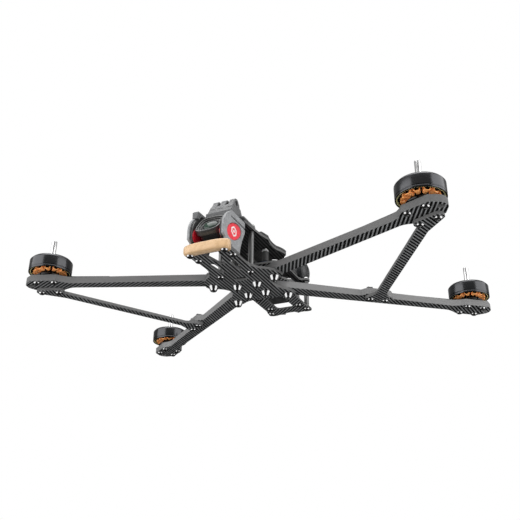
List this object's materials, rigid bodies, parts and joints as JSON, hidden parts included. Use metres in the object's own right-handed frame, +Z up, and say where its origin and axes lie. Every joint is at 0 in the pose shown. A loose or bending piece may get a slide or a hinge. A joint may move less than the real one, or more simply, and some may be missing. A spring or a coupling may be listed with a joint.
{
  "type": "fpv quadcopter drone",
  "caption": "Carbon-fibre FPV quadcopter with braced long arms, outrunner motors, a decked centre body and a tilting nose camera, without propellers.",
  "frame": {"origin": "centre of the belly plate's underside, on the drone's middle plane, level with the waist between the arms", "axes": "nose along -Y, the drone's left along +X, up along +Z"},
  "size_m": [0.3866, 0.2548, 0.0734],
  "materials": {
    "carbon_plate": "satin woven carbon laminate, dark grey cut edges",
    "carbon_arm": "satin woven carbon laminate, grey cut edges",
    "black_steel": "black oxide, glossy",
    "grey_anodised": "dark anodised, satin",
    "black_anodised": "black anodised",
    "copper_winding": "enamelled copper wire on a laminated core",
    "magnet_ring": "olive plated magnets",
    "bright_steel": "ground steel",
    "tan_tpu": "printed flexible plastic, satin tan",
    "grey_tpu": "printed flexible plastic, dark grey",
    "grey_rubber": "matt rubber sheet",
    "black_plastic": "black, satin",
    "lens_glass": "coated, dark green reflections",
    "red_insert": "red, satin",
    "circuit_board": "solder mask",
    "heatsink": "bare, bead blasted"
  },
  "bodies": {
    "frame": {"belly_plate": "carbon_plate", "middle_plate": "carbon_plate", "deck_plate": "carbon_plate", "battery_pad": "grey_rubber", "arm_front_left": "carbon_arm", "arm_front_right": "carbon_arm", "arm_rear_left": "carbon_arm", "arm_rear_right": "carbon_arm", "brace_left": "carbon_arm", "brace_right": "carbon_arm", "clamp_bolt_front_inner_left": "black_steel", "clamp_bolt_front_inner_right": "black_steel", "clamp_bolt_front_outer_left": "black_steel", "clamp_bolt_front_outer_right": "black_steel", "clamp_bolt_rear_inner_left": "black_steel", "clamp_bolt_rear_inner_right": "black_steel", "clamp_bolt_rear_outer_left": "black_steel", "clamp_bolt_rear_outer_right": "black_steel", "motor_base_front_left": "black_anodised", "stator_front_left": "copper_winding", "motor_base_front_right": "black_anodised", "stator_front_right": "copper_winding", "motor_base_rear_left": "black_anodised", "stator_rear_left": "copper_winding", "motor_base_rear_right": "black_anodised", "stator_rear_right": "copper_winding", "standoff_front_left": "black_anodised", "stack_post_front_left": "black_plastic", "standoff_front_right": "black_anodised", "stack_post_front_right": "black_plastic", "standoff_rear_left": "black_anodised", "stack_post_rear_left": "black_plastic", "standoff_rear_right": "black_anodised", "stack_post_rear_right": "black_plastic", "esc_board": "circuit_board", "flight_controller_board": "circuit_board", "video_transmitter": "heatsink", "rear_pod": "black_plastic", "nose_bumper": "tan_tpu", "cage_left": "grey_tpu", "window_insert_left": "red_insert", "cage_right": "grey_tpu", "window_insert_right": "red_insert", "top_mount": "grey_tpu"},
    "camera": {"camera_housing": "black_plastic", "lens_hood": "black_plastic", "lens_glass": "lens_glass"},
    "rotor_front_left": {"rotor_bell_front_left": "grey_anodised", "magnet_ring_front_left": "magnet_ring", "prop_shaft_front_left": "bright_steel"},
    "rotor_front_right": {"rotor_bell_front_right": "grey_anodised", "magnet_ring_front_right": "magnet_ring", "prop_shaft_front_right": "bright_steel"},
    "rotor_rear_left": {"rotor_bell_rear_left": "grey_anodised", "magnet_ring_rear_left": "magnet_ring", "prop_shaft_rear_left": "bright_steel"},
    "rotor_rear_right": {"rotor_bell_rear_right": "grey_anodised", "magnet_ring_rear_right": "magnet_ring", "prop_shaft_rear_right": "bright_steel"}
  },
  "joints": [
    {"name": "rotor_spin_front_left", "type": "hinge", "parent": "frame", "child": "rotor_front_left", "pos_m": [0.1735, -0.0752, 0.0095], "axis": [0, 0, 1], "continuous": true},
    {"name": "rotor_spin_front_right", "type": "hinge", "parent": "frame", "child": "rotor_front_right", "pos_m": [-0.1735, -0.0752, 0.0095], "axis": [0, 0, 1], "continuous": true},
    {"name": "rotor_spin_rear_left", "type": "hinge", "parent": "frame", "child": "rotor_rear_left", "pos_m": [0.1735, 0.1404, 0.0095], "axis": [0, 0, 1], "continuous": true},
    {"name": "rotor_spin_rear_right", "type": "hinge", "parent": "frame", "child": "rotor_rear_right", "pos_m": [-0.1735, 0.1404, 0.0095], "axis": [0, 0, 1], "continuous": true},
    {"name": "camera_tilt", "type": "hinge", "parent": "frame", "child": "camera", "pos_m": [0, -0.0744, 0.0179], "axis": [1, 0, 0], "range_deg": [-15, 25]}
  ]
}
